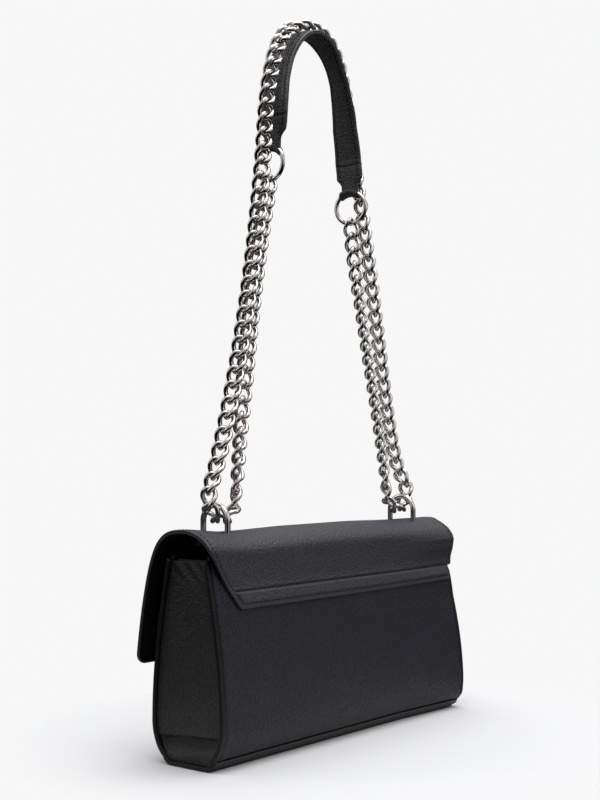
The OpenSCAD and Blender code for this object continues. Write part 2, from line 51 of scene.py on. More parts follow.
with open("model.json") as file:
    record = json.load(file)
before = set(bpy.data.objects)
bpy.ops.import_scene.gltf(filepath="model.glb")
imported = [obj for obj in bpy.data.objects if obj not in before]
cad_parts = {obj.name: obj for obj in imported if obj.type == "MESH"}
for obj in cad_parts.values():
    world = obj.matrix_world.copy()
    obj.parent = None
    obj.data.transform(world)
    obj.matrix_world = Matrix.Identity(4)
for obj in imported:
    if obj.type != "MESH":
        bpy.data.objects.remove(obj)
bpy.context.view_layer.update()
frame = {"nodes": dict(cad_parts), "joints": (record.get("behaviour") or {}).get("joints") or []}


def node_box(name):
    """A CAD node's lowest and highest corner."""
    return np.round(np.array([list(corner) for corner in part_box(name)]) / MM, 3)


# Bag body
GUSSET, PANEL, POCKET = node_box("gusset_right"), node_box("back_panel"), node_box("slip_pocket")
BODY_HALF, GUSSET_H = GUSSET[HI, X], GUSSET[HI, Z]
GUSSET_T = BODY_HALF - GUSSET[LO, X]
BAND_H, PANEL_TOP = PANEL[LO, Z], PANEL[HI, Z]
PANEL_T = 2.6
BASE_DEPTH, BELLY_DEPTH, MOUTH_DEPTH = 34.0, 59.0, 33.6
BELLY_H = 26.0

# Flap and yoke
FLAP, YOKE = node_box("flap_leather"), node_box("yoke")
FLAP_HALF, CREST_H, FLAP_REACH = FLAP[HI, X], FLAP[HI, Z], -FLAP[LO, Y]
FLAP_LOW, FLAP_CORNER = 59.4, 7.0
HINGE = next(joint for joint in frame["joints"] if joint["name"] == "flap_hinge")
HINGE_Y, HINGE_Z = (round(v / MM, 3) for v in HINGE["pos_m"][1:])
YOKE_LOW = YOKE[LO, Z]
YOKE_HALF, YOKE_T = 111.0, 2.2
RIB_LEFT, YOKE_LEFT = 130.0, 137.0
STRIP_H, RIB_H = 3.4, 7.0

# Loops
LOOP = node_box("strap_loop_right")
LOOP_X, LOOP_Y = LOOP.mean(0)[:2]
LOOP_WIRE = LOOP[HI, X] - LOOP[LO, X]
LOOP_R = (LOOP[HI, Y] - LOOP[LO, Y] - LOOP_WIRE) / 2
CROWN_Z = LOOP[HI, Z] - LOOP_WIRE / 2
LOOP_FOOT = LOOP[LO, Z] + 1.0

# Chain, with its shown wire a little thicker than the CAD's
STRAP_TOP, STRAND_OUT = 490.5, 11.3
LINK_WIRE, LINK_SHOWN = 2.6, 3.05
LINK_HALF_W, LINK_HALF_L, LINK_PITCH = 4.6, 6.8, 10.2
TURN_R, TURN_BEARING = 13.3, 6.0

# Rings and shoulder pad
RINGS = {side: node_box(f"ring_{tag}") for side, tag in SIDES}
RING_WIRE, RING_PLAY = 3.0, 0.35
RING_X = RINGS[1].mean(0)[X]
RING_Z = {side: box.mean(0)[Z] for side, box in RINGS.items()}
RING_R = (RINGS[1][HI, Z] - RINGS[1][LO, Z] - RING_WIRE) / 2
PAD, TAB = node_box("pad_backing"), node_box("pad_tab_left")
PAD_Y, PAD_TOP = PAD.mean(0)[Y], PAD[HI, Z]
PAD_W = PAD[HI, Y] - PAD[LO, Y]
PAD_SHIFT = LOOP_Y - PAD_Y
PAD_LAYER = node_box("pad_face")[HI, Z] - PAD_TOP
TAB_W = 14.0
TAB_NECK = PAD[LO, Z] - RING_Z[-1] - RING_R
TAB_GRIP = TAB[HI, Z] - PAD[LO, Z]


# Camera, lights and floor


def add_object(name, data):
    obj = bpy.data.objects.new(name, data)
    bpy.context.scene.collection.objects.link(obj)
    return obj


def grey(value):
    return (value, value, value)


def make_camera():
    """The photograph's camera: solved from the bag's straight edges."""
    place = (0.7131, 0.5573, 0.1900)
    yaw, pitch, roll = (math.radians(a) for a in (51.079, 2.380, -0.247))
    focal_length_px, image_height_px = 1307.8, 800
    camera = bpy.data.cameras.new("camera")
    camera.lens = focal_length_px * camera.sensor_width / image_height_px
    camera.clip_start, camera.clip_end = 0.01, 50
    obj = add_object("camera", camera)
    turned = Matrix.Translation(place)
    for angle, axis in ((math.pi - yaw, "Z"), (math.pi / 2 + pitch, "X"), (roll, "Z")):
        turned = turned @ Matrix.Rotation(angle, 4, axis)
    obj.matrix_world = turned
    bpy.context.scene.camera = obj


def area_light(name, place, target, size, power):
    """A rectangular light that the camera doesn't see."""
    light = bpy.data.lights.new(name, "AREA")
    light.shape = "RECTANGLE"
    light.size, light.size_y = size
    light.energy = power
    obj = add_object(name, light)
    obj.location = place
    obj.rotation_euler = (Vector(target) - Vector(place)).to_track_quat("-Z", "Y").to_euler()
    obj.visible_camera = False


def make_lights():
    area_light("top", (-0.2, 0.2, 2.2), (0, 0, 0), (2.4, 2.0), 45)
    area_light("right", (-1.3, 1.6, 0.9), (0, 0, 0.15), (0.8, 1.2), 5)
    area_light("left", (1.2, -1.6, 1.0), (0, 0, 0.25), (0.7, 1.2), 4)


# The studio's soft lights: the way to each, the cosines at which it starts and is full, and its colour
GLOWS = (
    ((0, 0, 1), 0.15, 0.75, (0.75, 0.76, 0.80)),
    ((-0.62, 0.78, 0.0), 0.80, 0.95, (0.15, 0.15, 0.17)),
    ((0.55, -0.83, 0.0), 0.85, 0.97, (0.08, 0.08, 0.08)),
    ((0.10, 0.95, 0.30), 0.84, 0.98, (0.50, 0.50, 0.51)),
    ((0.95, -0.12, 0.28), 0.93, 0.98, (0.50, 0.49, 0.48)),
    ((-0.78, -0.62, 0.0), 0.3, 0.9, (0.10, 0.09, 0.09)),
)


def make_world():
    """The camera sees an even pale backdrop, and soft glows on a dark room light the bag."""
    world = bpy.data.worlds.new("studio")
    world.use_nodes = True
    tree = world.node_tree
    tree.nodes.clear()
    where = add_node(tree, "TexCoord").outputs["Generated"]
    total = grey(0)
    for way, start, full, colour in GLOWS:
        aim = add_node(tree, "VectorMath", {0: where, 1: way}, operation="DOT_PRODUCT").outputs["Value"]
        glow = colour_ramp(tree, aim, grey(0), colour, (start, full))
        total = add_node(tree, "VectorMath", {0: total, 1: glow}, operation="ADD").outputs["Vector"]
    lit = add_node(tree, "Background", {"Color": total})
    seen = add_node(tree, "Background", {"Color": (*grey(0.93), 1)})
    to_camera = add_node(tree, "LightPath").outputs["Is Camera Ray"]
    mix = add_node(tree, "MixShader", {"Fac": to_camera, 1: lit.outputs[0], 2: seen.outputs[0]})
    add_node(tree, "OutputWorld", {"Surface": mix.outputs[0]})
    bpy.context.scene.world = world


def make_floor():
    """A pale floor that gives way to the backdrop further out."""
    reach, solid_to, gone_from = 3.0, 0.14, 0.27
    corners = [(reach * x, reach * y, 0) for x, y in ((-1, -1), (1, -1), (1, 1), (-1, 1))]
    mesh = bpy.data.meshes.new("floor")
    mesh.from_pydata(corners, [], [(0, 1, 2, 3)])
    obj = add_object("floor", mesh)
    material, tree, shader = new_material("floor_card")
    place = object_place(tree)
    cloud = noise(tree, place, 3.0)
    tint = colour_ramp(tree, cloud, grey(0.7), grey(0.712))
    set_inputs(tree, shader, {"Base Color": tint, "Roughness": 0.9, "Specular IOR Level": 0.0})
    far = add_node(tree, "VectorMath", {0: place}, operation="LENGTH").outputs["Value"]
    spread = {"Value": far, "From Min": solid_to, "From Max": gone_from}
    fade = add_node(tree, "MapRange", spread, interpolation_type="SMOOTHERSTEP").outputs["Result"]
    clear = add_node(tree, "BsdfTransparent").outputs[0]
    mix = add_node(tree, "MixShader", {"Fac": fade, 1: shader.outputs["BSDF"], 2: clear})
    tree.links.new(mix.outputs[0], tree.nodes["Material Output"].inputs["Surface"])
    mesh.materials.append(material)


# Shader nodes


def set_inputs(tree, node, inputs):
    """Each input takes a value, or a link where it is given another node's socket."""
    for key, value in inputs.items():
        if isinstance(value, bpy.types.NodeSocket):
            tree.links.new(value, node.inputs[key])
        else:
            node.inputs[key].default_value = value


def add_node(tree, kind, inputs=None, **fields):
    node = tree.nodes.new("ShaderNode" + kind)
    for field, value in fields.items():
        setattr(node, field, value)
    set_inputs(tree, node, inputs or {})
    return node


def math_node(tree, operation, *values):
    return add_node(tree, "Math", dict(enumerate(values)), operation=operation).outputs["Value"]


def object_place(tree):
    return add_node(tree, "TexCoord").outputs["Object"]


def noise(tree, place, scale, detail=2.0, output="Fac"):
    inputs = {"Vector": place, "Scale": scale, "Detail": detail}
    return add_node(tree, "TexNoise", inputs).outputs[output]


def colour_ramp(tree, amount, low, high, spread=(0.0, 1.0)):
    """The low colour up to the start of the spread, the high one from its end, and a blend between."""
    ramp = add_node(tree, "ValToRGB", {"Fac": amount})
    for stop, position, colour in zip(ramp.color_ramp.elements, spread, (low, high)):
        stop.position = position
        stop.color = (*colour, 1)
    return ramp.outputs["Color"]


def new_material(name):
    material = bpy.data.materials.new(name)
    material.use_nodes = True
    tree = material.node_tree
    return material, tree, tree.nodes["Principled BSDF"]


# Materials


GRAIN = 700.0


def leather(name, dark, light, rough=0.45, depth=0.32, gleam=0.5):
    """Fine pebbled leather: small raised cells with creases between painted darker as shade, over a slow
    change of colour.
    """
    material, tree, shader = new_material(name)
    place = object_place(tree)
    bend = noise(tree, place, GRAIN * 0.35, output="Color")
    push = {0: bend, 1: grey(0.0012), 2: place}
    pushed = add_node(tree, "VectorMath", push, operation="MULTIPLY_ADD").outputs["Vector"]
    pebbles = {"Vector": pushed, "Scale": GRAIN, "Smoothness": 0.35}
    cells = add_node(tree, "TexVoronoi", pebbles, feature="SMOOTH_F1").outputs["Distance"]
    fine = noise(tree, place, GRAIN * 2.2, 3.0)
    slow = noise(tree, place, 22.0, 4.0)
    height = math_node(tree, "SUBTRACT", 1.0, cells)
    height = math_node(tree, "ADD", height, math_node(tree, "MULTIPLY", fine, 0.35))
    # The creases between pebbles are painted darker as painted shade, added to the slow random change of
    # colour.
    crease_shade_and_tone = math_node(tree, "ADD", math_node(tree, "MULTIPLY", cells, -0.8), slow)
    worn = math_node(tree, "MULTIPLY_ADD", slow, 0.16, rough - 0.08)
    bump = {"Height": height, "Strength": depth * 3, "Distance": 0.0005}
    set_inputs(tree, shader, {
        "Base Color": colour_ramp(tree, crease_shade_and_tone, dark, light, (0.1, 0.7)),
        "Roughness": math_node(tree, "MULTIPLY_ADD", cells, 0.15, worn),
        "Specular IOR Level": gleam,
        "Normal": add_node(tree, "Bump", bump).outputs["Normal"],
    })
    return material


def metal(name, colour, rough):
    """Plated metal, with a faint cloudiness in its colour and polish."""
    material, tree, shader = new_material(name)
    cloud = noise(tree, object_place(tree), 260.0, 3.0)
    set_inputs(tree, shader, {
        "Base Color": colour_ramp(tree, cloud, [c * 0.9 for c in colour], colour, (0.3, 0.7)),
        "Roughness": math_node(tree, "MULTIPLY_ADD", cloud, 0.10, rough - 0.05),
        "Metallic": 1.0,
    })
    return material


def cloth(name, dark, light):
    """Plain woven cloth: two crossed waves of thread."""
    material, tree, shader = new_material(name)
    threads = {"Vector": object_place(tree), "Scale": 420.0, "Distortion": 1.5}
    waves = [add_node(tree, "TexWave", threads, bands_direction=axis).outputs["Fac"] for axis in "XZ"]
    weave = math_node(tree, "MULTIPLY", *waves)
    bump = {"Height": weave, "Strength": 0.4, "Distance": 0.0002}
    set_inputs(tree, shader, {
        "Base Color": colour_ramp(tree, weave, dark, light),
        "Roughness": 0.8,
        "Normal": add_node(tree, "Bump", bump).outputs["Normal"],
    })
    return material


def make_materials():
    return {
        # The walls, flap, gusset and pad are one black leather. The flap, gusset and pad copies are painted
        # lighter, each to match the light that falls on it: painted light.
        "leather": leather("leather", (0.0055, 0.005, 0.0105), (0.0155, 0.014, 0.0255), gleam=0.34),
        "flap": leather("flap_grain_painted_light", (0.0235, 0.0226, 0.0305), (0.044, 0.0425, 0.0575)),
        "gusset": leather("gusset_grain_painted_light", (0.014, 0.014, 0.0143), (0.031, 0.031, 0.0315), 0.42, gleam=0.34),
        "base": leather("base_grain", (0.012, 0.011, 0.0105), (0.024, 0.022, 0.021)),
        "edge": leather("edge_paint", grey(0.0035), grey(0.008), depth=0.10, gleam=0.25),
        # Rims are lighter than the sheets they edge: partly grey edge paint, partly painted highlight.
        "rim": leather("rim_paint_and_highlight", (0.020, 0.020, 0.021), (0.042, 0.042, 0.044), rough=0.38, depth=0.04),
        # The flap's underside: lining leather made near black as painted shade under the flap.
        "shaded_lining": leather("under_leather_painted_shade", grey(0.0025), grey(0.006), rough=0.8, gleam=0.1),
        "pad": leather("pad_grain_painted_light", (0.038, 0.0372, 0.0377), (0.074, 0.0725, 0.0733)),
        "thread": cloth("thread", grey(0.003), (0.009, 0.009, 0.010)),
        "cloth": cloth("lining_weave", grey(0.012), (0.030, 0.029, 0.028)),
        "board": cloth("board_fibre", (0.08, 0.07, 0.06), (0.13, 0.11, 0.09)),
        "metal": metal("polished_nickel", (0.66, 0.625, 0.595), 0.14),
        # Near-black metal for the loop plates under the flap: they are metal, and their near-black colour is
        # painted shade.
        "dark_metal": metal("plate_metal_painted_shade", grey(0.03), 0.55),
    }


# Mesh helpers


def unit(v):
    return v / np.linalg.norm(v, axis=-1, keepdims=True)


def smooth_step(x, lo, hi):
    """0 up to lo and 1 from hi, with a smooth rise between."""
    t = np.clip((x - lo) / (hi - lo), 0, 1)
    return t * t * (3 - 2 * t)


def bump_at(x, centre, half):
    """A smooth bump of height 1 that is zero past half to either side."""
    t = np.clip(np.abs(x - centre) / half, 0, 1)
    return (1 - t * t) ** 2


def running(points):
    """The length run along a path up to each of its points."""
    return np.concatenate([[0], np.cumsum(np.linalg.norm(np.diff(points, axis=0), axis=1))])


def follow(s, run, values):
    """What holds at lengths s of a path, where values holds its rows at the lengths run."""
    return np.stack([np.interp(s, run, column) for column in values.T], -1)


def bezier(p, t):
    p, t = np.asarray(p, float), t[:, None]
    return (1 - t) ** 3 * p[0] + 3 * t * (1 - t) ** 2 * p[1] + 3 * t * t * (1 - t) * p[2] + t ** 3 * p[3]


def circle(radius, count=14):
    a = np.arange(count) * 2 * math.pi / count
    return np.stack([radius * np.cos(a), radius * np.sin(a)], 1)


def shifted(faces, start):
    return [tuple(i + start for i in face) for face in faces]


def loop_faces(rows, count, closed=False):
    """Quads between rows loops of count points each. Open ends are capped."""
    faces = []
    for i in range(rows if closed else rows - 1):
        a, b = i * count, ((i + 1) % rows) * count
        for k in range(count):
            n = (k + 1) % count
            faces.append((a + k, a + n, b + n, b + k))
    if not closed:
        faces.append(tuple(range(count - 1, -1, -1)))
        faces.append(tuple((rows - 1) * count + k for k in range(count)))
    return faces


def add_mesh(name, points, faces, material):
    """A smooth closed mesh."""
    mesh = bpy.data.meshes.new(name)
    mesh.from_pydata((points * MM).tolist(), [], faces)
    shape = bmesh.new()
    shape.from_mesh(mesh)
    bmesh.ops.remove_doubles(shape, verts=shape.verts, dist=2e-6)
    bmesh.ops.recalc_face_normals(shape, faces=shape.faces)
    shape.to_mesh(mesh)
    shape.free()
    mesh.shade_smooth()
    mesh.materials.append(MATERIALS[material])
    obj = add_object(name, mesh)
    return obj


def paint(obj, material, chosen):
    """The faces for which chosen holds get another material."""
    mesh = obj.data
    mesh.materials.append(MATERIALS[material])
    for face in mesh.polygons:
        if chosen(face):
            face.material_index = len(mesh.materials) - 1


def loft(name, loops, material):
    """A closed mesh through loops of as many points each."""
    return add_mesh(name, np.concatenate(loops), loop_faces(len(loops), len(loops[0])), material)


# How far in from a sheet's side edge it has columns of points
EDGE_COLUMNS = (0, 0.5, 1.0, 1.6, 2.2, 2.7, 3.1, 3.5, 3.9, 4.3, 5.0, 6.0, 7.4, 9.0)
EDGE_STEPS = 9


def sheet_columns(width, step):
    """Places across a sheet from -width to width: close together near both edges."""
    outer = width - np.array([d for d in EDGE_COLUMNS if d < width * 0.45])
    middle = np.linspace(-outer[-1], outer[-1], max(3, round(2 * width / step)))[1:-1]
    return np.concatenate([-outer, middle, outer[::-1]])


def slab(name, rows, place, material, step=3.0, layered=False):
    """A closed sheet with rounded edges. rows holds (s, half width, half thickness) along its length, and
    place(x, s, off) puts points in space. The side edges of a layered one show its two layers."""
    _, widest, half = np.max(rows, axis=0)
    shares = sheet_columns(widest - half, step) / (widest - half)
    turns = np.linspace(0, math.pi, EDGE_STEPS + 2)[1:-1]
    bulge = np.sin(turns) ** 0.7
    if layered:
        bulge = bulge * (1 - 0.38 * np.exp(-(((turns - math.pi / 2) / 0.22) ** 2)))
    loops = []
    for s, width, thick in rows:
        columns = sheet_columns(width - half, step)
        if len(columns) != len(shares):
            columns = shares * (width - half)
        right = width - half + half * bulge
        x = np.concatenate([columns, right, columns[::-1], -right])
        flat, edge = np.full(len(columns), thick), thick * np.cos(turns)
        off = np.concatenate([flat, edge, -flat, -edge])
        loops.append(place(x, np.full(len(x), float(s)), off))
    return loft(name, loops, material)


def rounded_rows(stations, width, thick):
    """Rows for slab with round ends: near each end the sheet thins as a semicircle does."""
    lo, hi = stations[0], stations[-1]
    h0, h1 = thick(lo), thick(hi)
    turns = np.linspace(0, math.pi / 2, 6)
    rows = [(lo + h0 - h0 * math.cos(a), h0 * math.sin(a)) for a in turns[:-1]]
    rows += [(s, thick(s)) for s in stations if lo + h0 <= s <= hi - h1]
    rows += [(hi - h1 + h1 * math.sin(a), h1 * math.cos(a)) for a in turns[1:]]
    return [(s, width(s), max(0.02, t)) for s, t in rows]


def carried(path, first, second, section):
    """The points of a section put at each point of a path, with its axes along first and second."""
    points = path[:, None] + first[:, None] * section[None, :, :1] + second[:, None] * section[None, :, 1:]
    return points.reshape(-1, 3)


def sweep(name, path, side, section, material, closed=False):
    """A section carried along a path, with its first axis towards side and its second square to that."""
    way = np.roll(path, -1, 0) - np.roll(path, 1, 0) if closed else np.gradient(path, axis=0)
    way = unit(way)
    side = np.tile(side, (len(path), 1))
    side = unit(side - (side * way).sum(1, keepdims=True) * way)
    points = carried(path, side, np.cross(way, side), section)
    return add_mesh(name, points, loop_faces(len(path), len(section), closed), material)


STITCH_PITCH, STITCH_LENGTH, STITCH_RADIUS, STITCH_LIFT = 3.1, 2.2, 0.26, 0.08
THREAD_CORNERS = 6


def stitch_row(path, normals):
    """Points and faces of a row of stitches along a path: short threads with their ends sunk in."""
    run = running(path)
    count = max(1, int(run[-1] // STITCH_PITCH))
    rings = np.array([-0.5, -0.36, 0.0, 0.36, 0.5]) * STITCH_LENGTH
    radii = np.array([0.25, 0.85, 1.0, 0.85, 0.25]) * STITCH_RADIUS
    lifts = STITCH_LIFT + np.array([-1.4, -0.4, 0.0, -0.4, -1.4]) * STITCH_RADIUS
    turn = circle(1.0, THREAD_CORNERS)
    points, faces = [], []
    for s in (np.arange(count) + 0.5) * run[-1] / count:
        centre = follow(s + rings, run, path)
        normal = unit(follow(s + rings, run, normals))
        across = np.cross(unit(centre[-1] - centre[0]), normal)
        faces += shifted(loop_faces(len(rings), THREAD_CORNERS), len(points) * THREAD_CORNERS)
        for k, r in enumerate(radii):
            around = turn[:, :1] * across[k] + turn[:, 1:] * normal[k]
            points.append(centre[k] + normal[k] * lifts[k] + r * around)
    return np.concatenate(points), faces


def stitches(name, rows):
    """One mesh of several rows of stitches."""
    points, faces = [], []
    for path, normals in rows:
        row_points, row_faces = stitch_row(path, normals)
        faces += shifted(row_faces, sum(len(p) for p in points))
        points.append(row_points)
    return add_mesh(name, np.concatenate(points), faces, "thread")


def drawn(x, table):
    """The value at x of a line drawn through a table's points."""
    places, values = zip(*table)
    return np.interp(x, places, values)


def stations_of(*spans):
    """Places along a sheet, at a step of its own in each span from one place to the next."""
    return np.concatenate([np.arange(*span) for span in spans])


# Bag body


# How much slimmer the soft bag is at its left end, at heights above the ground
NIP = (
    (3, -3.5), (11, -3.5), (17, -1.8), (23, -0.8), (47, 0.3), (60, 1.1), (71, 1.9), (83, 2.8), (95, 2.6),
    (101, 2.8), (107, 4.6), (113, 3.5), (119, 1.7), (126, 1.0), (132, 3.6), (137, 4.4), (142, 3.4),
)
LINING_T = 0.8


def half_depth(z):
    """Half the bag's depth at height z: it swells from the base to the belly and narrows to the mouth."""
    rise = np.sin(np.clip(z / BELLY_H, 0, 1) * math.pi / 2) ** 0.8
    fall = np.cos((z - BELLY_H) / (GUSSET_H - BELLY_H) * math.pi / 2)
    low = BASE_DEPTH + (BELLY_DEPTH - BASE_DEPTH) * rise
    high = MOUTH_DEPTH + (BELLY_DEPTH - MOUTH_DEPTH) * fall
    return np.where(z < BELLY_H, low, high) / 2


def nip(x, z):
    """How much slimmer the soft bag is at x and height z."""
    return drawn(z, NIP) * smooth_step(-x, 50, 134)


def wall_depth(x, z):
    return half_depth(z) - nip(x, z)


def wall_normal(z):
    """Outward normal in (y, z) of the back wall at height z."""
    reach = 0.1
    slope = (half_depth(z + reach) - half_depth(z - reach)) / (2 * reach)
    return unit(np.stack([np.ones_like(slope), -slope], -1))


def panel_sag(x, z):
    """Slow swells that the soft panel takes between its seams."""
    inside = np.cos(np.clip(x / 130, -1, 1) * math.pi / 2) * np.sin(np.clip((z - 6) / 122, 0, 1) * math.pi)
    return inside * (0.5 + 0.5 * np.sin(x / 38 + 0.6) * np.sin(z / 27 + 1.1))


def make_panels():
    """The two leather walls, with a turned lower edge."""
    low, half_width = BAND_H + 0.2, BODY_HALF - 1.5
    for way, tag in ((1, "back"), (-1, "front")):
        def place(x, s, off):
            normal = wall_normal(s)
            turned = 0.3 * bump_at(half_width - 0.3 - np.abs(x), 3.0, 3.0) - 0.5 * bump_at(s, low + 0.2, 1.2)
            out = off - PANEL_T / 2 + np.where(off > 0, turned + panel_sag(x, s), 0)
            y = wall_depth(x, s) + normal[:, 0] * out
            return np.stack([x, way * y, s + normal[:, 1] * out], 1)

        stations = np.concatenate([np.linspace(low, 9, 8), np.arange(10, PANEL_TOP, 1.5), [PANEL_TOP]])
        rows = rounded_rows(stations, lambda s: half_width, lambda s: PANEL_T / 2)
        wall = slab(f"{tag}_wall", rows, place, "leather", step=2.5)
        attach(wall, "bag")
        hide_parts(f"{tag}_panel")


def front_corner(x):
    """How far the bag's lower front corner at the right end is drawn in."""
    return 2.6 * smooth_step(x, 121, 131.5)


def end_path(end, inset, top):
    """The bag's outline at its end, from the front's top round the base to the back's top, as (y, z)."""
    foot, corner_r, edge = 4.0, 4.0, end * BODY_HALF
    z = np.linspace(top, foot, 70)
    down = np.stack([wall_depth(edge, z) - inset, z + inset * smooth_step(12 - z, 0, 8)], 1)
    turn = np.linspace(0, math.pi / 2, 9)[1:]
    mid_y, mid_z = wall_depth(edge, foot) - inset - corner_r, foot + inset
    corner = np.stack([mid_y + corner_r * np.cos(turn), mid_z - corner_r * np.sin(turn)], 1)
    half = np.concatenate([down, corner])
    if end < 0:
        half[:, 1] += 1.4 * np.clip(1 - half[:, 1] / 8.0, 0, 1)
    flat = np.linspace(half[-1, 0], -half[-1, 0], 24)[1:-1]
    bottom = np.stack([flat, np.full_like(flat, half[-1, 1])], 1)
    front = half * [-1, 1]
    front[:, 0] += front_corner(edge) * np.clip(1 - front[:, 1] / 7.0, 0, 1)
    bottom[:, 0] = np.maximum(bottom[:, 0], front[-1, 0])
    return np.concatenate([front, bottom[::-1], half[::-1]])


def make_bindings():
    """The turned edge that stands out round each end as a thin ridge."""
    turn = np.linspace(-math.pi / 2, math.pi / 2, 13)
    crown = np.stack([0.15 + 1.4 * np.sin(turn), 1.5 + np.cos(turn)], 1)
    section = np.concatenate([[[-1.25, -1.6]], crown, [[1.55, -1.6]]])
    for end, tag in SIDES:
        path = end_path(end, 1.3, GUSSET_H + 0.5)
        way = unit(np.gradient(path, axis=0))
        inward = np.stack([-way[:, 1], way[:, 0]], 1)
        inward *= np.sign(((path.mean(0) - path) * inward).sum(1))[:, None]
        side, out = np.insert(inward, X, 0, axis=1), np.tile([1, 0, 0], (len(path), 1))
        points = carried(np.insert(path, X, end * (BODY_HALF - 0.4), axis=1), side, out, section * [1, end])
        ridge = add_mesh(
            f"edge_ridge_{tag}", points, loop_faces(len(path), len(section)), "edge")
        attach(ridge, "bag")
        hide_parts(f"end_binding_{tag}")


def gusset_form(end, y, z):
    """How far the soft gusset lies inwards: a dish with a fold near its foot and rumples at the mouth."""
    t = np.clip(y / wall_depth(end * BODY_HALF, z), -1, 1)
    inside = 1 - t * t
    below = 19.0 + 2.0 * t - z
    dish = 1.6 * inside * smooth_step(z, 8, 40)
    crease = 4.6 * smooth_step(below, -0.6, 2.2) * (1 - smooth_step(below, 3.0, 12.0)) * (1 - t ** 4)
    toe = -1.2 * np.exp(-(((z - 8 - 3 * t) / 3.0) ** 2)) * inside
    rumple = 0.7 * np.sin(t * 11 + z * 0.55) * smooth_step(z, 108, 122) * inside
    soft = 0.5 * np.sin(z / 9 + 3 * t) * np.sin(2.2 * t + 0.7) * inside
    return dish + crease + toe + rumple + soft


def make_gussets():
    """The folded leather at each end, between the two walls."""
    half = GUSSET_T / 2
    stations = stations_of((2.4, 30, 0.8), (30, 108, 2.0), (108, GUSSET_H, 0.8))
    for end, tag in SIDES:
        def place(x, s, off):
            return np.stack([end * (BODY_HALF - half + off - gusset_form(end, x, s)), x, s], 1)

        rows = rounded_rows(stations, lambda s: wall_depth(end * BODY_HALF, s) - 2.0, lambda s: half)
        sheet = slab(f"gusset_sheet_{tag}", rows, place, "gusset", step=1.2)
        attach(sheet, "bag")
        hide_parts(f"gusset_{tag}")


def make_base():
    """The base leather: a shallow tray whose low band shows between two seams, with piping under it."""
    top = BAND_H - 0.1
    turned = 1.6 - 1.6 * np.cos(np.linspace(0.3, math.pi / 2, 6))
    z = np.concatenate([[0.0], turned, np.linspace(2.2, 4.8, 4), [5.3, 5.7, top]])
    swell = np.array([-1.6, -0.85, -0.35, 0.05, 0.28, 0.38, 0.42, 0.45, 0.5, 0.48, 0.40, 0.1, -0.35, -1.0])

    def ring_at(x):
        lift = 1.6 * (1 - z / top) * smooth_step(-x, 125, 132)
        back = np.stack([wall_depth(x, z) + swell - 0.35, z + lift], 1)
        half = np.concatenate([back, [[back[-1, 0] - 1.6, top], [back[-1, 0] - 1.8, 2.0]]])
        front = half * [-1, 1]
        front[:, 0] += front_corner(x) * np.clip(1 - front[:, 1] / top, 0, 1) ** 0.7
        return np.concatenate([half, front[::-1]])

    ends = BODY_HALF - np.array([0.8, 1.2])
    places = np.concatenate([-ends, np.linspace(-130, 130, 105), ends[::-1]])
    shrink = np.concatenate([[0.985, 0.997], np.ones(105), [0.997, 0.985]])
    loops = [np.insert(ring_at(x) * [share, 1], X, x, axis=1) for x, share in zip(places, shrink)]
    tray = loft("base_tray", loops, "base")
    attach(tray, "bag")
    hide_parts("base_panel")
    for way, tag in ((1, "back"), (-1, "front")):
        x = np.linspace(-131.0, 131.0, 60)
        depth = wall_depth(x, 0.9) - 0.4
        if way < 0:
            depth -= 0.9 * front_corner(x)
        path = np.stack([x, way * depth, 0.85 + 1.3 * smooth_step(-x, 125, 132)], 1)
        piping = sweep(f"base_piping_{tag}", path, (0, 0, 1), circle(0.8), "edge")
        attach(piping, "bag")


def ring_of(half_x, half_y):
    """A rectangle with round corners, with extra points along its long sides."""
    r = 4.0
    points = []
    for cx, cy, start in ((1, 1, 0), (-1, 1, 90), (-1, -1, 180), (1, -1, 270)):
        for a in np.radians(np.linspace(start, start + 90, 6)):
            points.append([cx * (half_x - r) + r * math.cos(a), cy * (half_y - r) + r * math.sin(a)])
        if cy == cx:
            run = np.linspace(cx * (half_x - r), -cx * (half_x - r), 60)[1:-1]
            points += [[x, cy * half_y] for x in run]
    return np.array(points)


def tucked(ring, z):
    """The lining's outline at height z, inside the slimmer left end and behind the gussets' folds."""
    x, y = ring.T
    behind = np.maximum(gusset_form(np.sign(x), y, z), 0) * smooth_step(np.abs(x), 112, 128)
    return np.stack([x - np.sign(x) * behind, y - np.sign(y) * nip(x, z)], 1)


def make_lining():
    """The lining: one closed bag of cloth with a hem, and a slip pocket on its back wall."""
    heights = np.concatenate([[5.0], np.arange(6, 124, 3.0), [GUSSET_H - 1.0, GUSSET_H - 0.1]])
    half_width, under, hem = BODY_HALF - 2.8, 4.1, 0.4
    inner, outer = [], []
    for z in heights:
        depth = half_depth(z) - PANEL_T - 0.2
        x, y = tucked(ring_of(half_width - LINING_T, depth - LINING_T), z).T
        wave = 0.5 * np.sin(x / 11 + z / 17) * np.sin(z / 128 * math.pi)
        inner.append(np.stack([x, y - np.sign(y) * np.abs(wave), np.full(len(x), z)], 1))
        outer.append(np.insert(tucked(ring_of(half_width, depth), z), Z, z, axis=1))
    outer[0][:, Z] = under
    bag = loft("lining_bag", inner + [inner[-1] + [0, 0, hem]] + outer[::-1], "cloth")
    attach(bag, "bag")
    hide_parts("lining")

    half, low, high = POCKET[HI, X], POCKET[LO, Z], POCKET[HI, Z]

    def place(x, s, off):
        slack = 0.9 * np.sin(np.clip((s - low) / (high - low), 0, 1) * math.pi / 2)
        y = wall_depth(x, s) - PANEL_T - 2.0 + off - slack * np.cos(x / half * math.pi / 2)
        return np.stack([x, y, s], 1)

    rows = rounded_rows(np.arange(low, high + 0.1, 1.5), lambda s: half, lambda s: 0.45)
    pocket = slab("pocket_cloth", rows, place, "cloth")
    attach(pocket, "bag")
    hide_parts("slip_pocket")


# Flap


